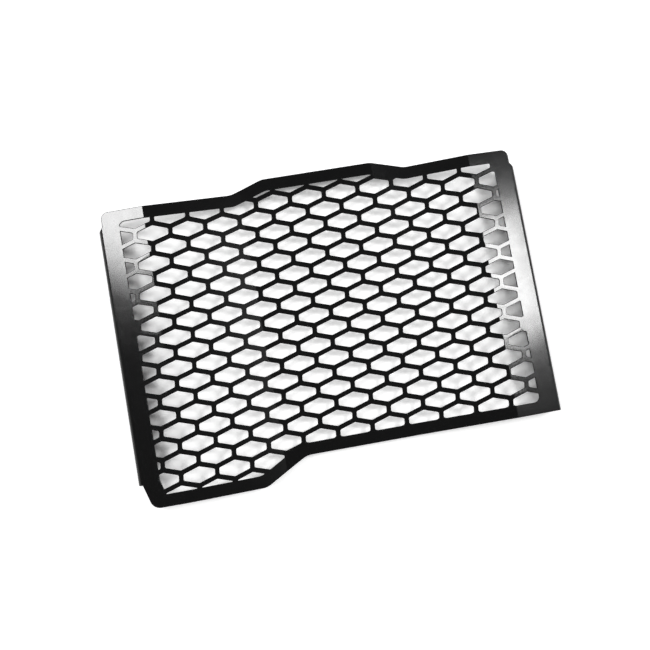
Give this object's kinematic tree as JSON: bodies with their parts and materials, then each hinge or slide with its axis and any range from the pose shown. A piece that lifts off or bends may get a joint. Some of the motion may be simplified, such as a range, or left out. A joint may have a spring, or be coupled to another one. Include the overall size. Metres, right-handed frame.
{
  "type": "motorcycle radiator guard",
  "caption": "Folded sheet guard that covers a motorcycle radiator, with a slanted mesh of long hexagonal openings, a stepped top edge, a tab at one lower corner and two side flanges.",
  "frame": {"origin": "on the floor, below the middle of the outline", "axes": "+Z out of the front face, +X across the face to the viewer's right, +Y up the face; the rims of the two side flanges lie on z = 0"},
  "size_m": [0.315, 0.2274, 0.023],
  "materials": {
    "powder_coat": "satin black powder coat with a fine grain"
  },
  "bodies": {
    "root": {"guard": "powder_coat"}
  },
  "joints": []
}
